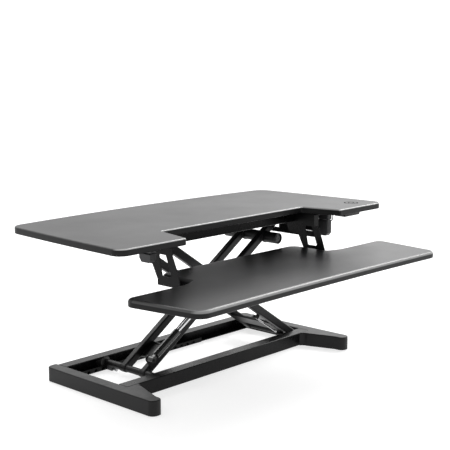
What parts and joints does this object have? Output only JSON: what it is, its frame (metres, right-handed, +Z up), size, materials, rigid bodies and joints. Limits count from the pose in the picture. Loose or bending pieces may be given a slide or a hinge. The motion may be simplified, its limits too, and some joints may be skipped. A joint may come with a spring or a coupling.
{
  "type": "standing desk converter",
  "caption": "Desktop sit-stand riser: a wide notched deck and a lower keyboard tray on an X-shaped lift that rolls in a channel-rail base with splayed toes.",
  "frame": {"origin": "on the desk surface under the middle of the deck, at the centre of the overall footprint", "axes": "+X along the deck width to the user's right, +Y from the user to the back, +Z up"},
  "size_m": [1.022, 0.682, 0.426],
  "materials": {
    "deck_laminate": "black low-sheen laminate with a soft edge",
    "tray_laminate": "black low-sheen laminate with a rounded edge",
    "frame_black": "satin black powder coat",
    "rail_black": "satin black powder coat on folded sheet",
    "foot_black": "satin black powder coat on a casting",
    "bare_steel": "zinc-plated steel",
    "chrome_rod": "polished chrome",
    "cylinder_black": "gloss black enamel",
    "handle_plastic": "moulded dark grey plastic, fine grain",
    "roller_plastic": "smooth dark nylon",
    "pad_rubber": "soft black rubber",
    "charger_plastic": "smooth dark plastic with a fine ring"
  },
  "bodies": {
    "base": {"base_front_rail": "rail_black", "base_rear_rail": "rail_black", "left_foot": "foot_black", "right_foot": "foot_black", "rubber_feet": "pad_rubber", "foot_screws": "bare_steel", "lock_rack": "frame_black", "lower_hinge_axle": "bare_steel"},
    "outer_arm": {"outer_front_tube": "frame_black", "outer_rear_tube": "frame_black", "outer_lower_bush": "frame_black", "outer_upper_bar": "frame_black", "upper_roller_axle": "bare_steel", "outer_brace": "frame_black", "centre_pivot_bolts": "bare_steel", "centre_pivot_spacers": "bare_steel", "lock_pull_rod": "bare_steel", "pull_rod_guides": "frame_black", "outer_spring_mount": "frame_black"},
    "inner_arm": {"inner_front_tube": "frame_black", "inner_rear_tube": "frame_black", "inner_upper_bush": "frame_black", "inner_lower_bar": "frame_black", "lower_roller_axle": "bare_steel", "inner_brace": "frame_black", "inner_torque_tube": "frame_black", "torque_tube_plugs": "bare_steel", "inner_spring_mount": "frame_black", "lock_pin_guide": "handle_plastic"},
    "deck": {"bracket_screws": "bare_steel", "charging_pad": "charger_plastic", "deck_board": "deck_laminate", "keyboard_tray": "tray_laminate", "left_lever_housing": "handle_plastic", "left_tray_bracket": "frame_black", "lever_pins": "bare_steel", "power_module": "charger_plastic", "rail_screws": "bare_steel", "release_side_plate": "frame_black", "right_lever_housing": "handle_plastic", "right_tray_bracket": "frame_black", "tray_screws": "bare_steel", "upper_front_rail": "rail_black", "upper_hinge_axle": "bare_steel", "upper_left_member": "frame_black", "upper_rear_rail": "rail_black", "upper_right_member": "frame_black", "wire_hook": "bare_steel"},
    "front_lower_roller_body": {"front_lower_roller": "roller_plastic"},
    "rear_lower_roller_body": {"rear_lower_roller": "roller_plastic"},
    "front_upper_roller_body": {"front_upper_roller": "roller_plastic"},
    "rear_upper_roller_body": {"rear_upper_roller": "roller_plastic"},
    "cylinder": {"spring_cylinder": "cylinder_black"},
    "rod": {"spring_rod": "chrome_rod"},
    "left_lever": {"left_release_lever": "handle_plastic"},
    "right_lever": {"right_release_lever": "handle_plastic"},
    "lock_plunger": {"lock_pin": "bare_steel"}
  },
  "joints": [
    {"name": "lift", "type": "hinge", "parent": "base", "child": "outer_arm", "pos_m": [0.3455, 0.15965, 0.0215], "axis": [0, 1, 0], "range_deg": [-26, 7.5]},
    {"name": "arm_crossing", "type": "hinge", "parent": "outer_arm", "child": "inner_arm", "pos_m": [0.06349, 0.15965, 0.20745], "axis": [0, 1, 0], "range_deg": [-15.5, 52.5]},
    {"name": "deck_hinge", "type": "hinge", "parent": "inner_arm", "child": "deck", "pos_m": [0.3455, 0.15965, 0.3934], "axis": [0, 1, 0], "range_deg": [-26.5, 8]},
    {"name": "spring_foot", "type": "hinge", "parent": "inner_arm", "child": "cylinder", "pos_m": [-0.21293, 0.09, 0.06352], "axis": [0, 1, 0], "range_deg": [-2.36, 6.95]},
    {"name": "spring_eye", "type": "hinge", "parent": "outer_arm", "child": "rod", "pos_m": [0.02556, 0.09, 0.2097], "axis": [0, 1, 0], "range_deg": [-17.36, 58.95]},
    {"name": "front_lower_roll", "type": "hinge", "parent": "inner_arm", "child": "front_lower_roller_body", "pos_m": [-0.21852, 0.0382, 0.0215], "axis": [0, 1, 0], "continuous": true},
    {"name": "front_upper_roll", "type": "hinge", "parent": "outer_arm", "child": "front_upper_roller_body", "pos_m": [-0.21852, 0.0382, 0.3934], "axis": [0, 1, 0], "continuous": true},
    {"name": "rear_lower_roll", "type": "hinge", "parent": "inner_arm", "child": "rear_lower_roller_body", "pos_m": [-0.21852, 0.2811, 0.0215], "axis": [0, 1, 0], "continuous": true},
    {"name": "rear_upper_roll", "type": "hinge", "parent": "outer_arm", "child": "rear_upper_roller_body", "pos_m": [-0.21852, 0.2811, 0.3934], "axis": [0, 1, 0], "continuous": true},
    {"name": "left_squeeze", "type": "hinge", "parent": "deck", "child": "left_lever", "pos_m": [-0.345, -0.033, 0.39765], "axis": [1, 0, 0], "range_deg": [0, 12], "stiffness_Nm_per_rad": 0.5, "springref_deg": -17.19},
    {"name": "right_squeeze", "type": "hinge", "parent": "deck", "child": "right_lever", "pos_m": [0.345, -0.033, 0.39765], "axis": [1, 0, 0], "range_deg": [0, 12], "stiffness_Nm_per_rad": 0.5, "springref_deg": -17.19},
    {"name": "lock_release", "type": "slide", "parent": "inner_arm", "child": "lock_plunger", "axis": [0, -1, 0], "range_m": [0, 0.006]}
  ],
  "couplings": [
    {"joint": "arm_crossing", "follows": "lift", "ratio": -2},
    {"joint": "deck_hinge", "follows": "lift", "ratio": 1},
    {"joint": "spring_foot", "follows": "lift", "ratio": -0.248},
    {"joint": "spring_eye", "follows": "lift", "ratio": -2.248},
    {"joint": "lock_release", "follows": "right_squeeze", "m_per_rad": 0.0238}
  ]
}
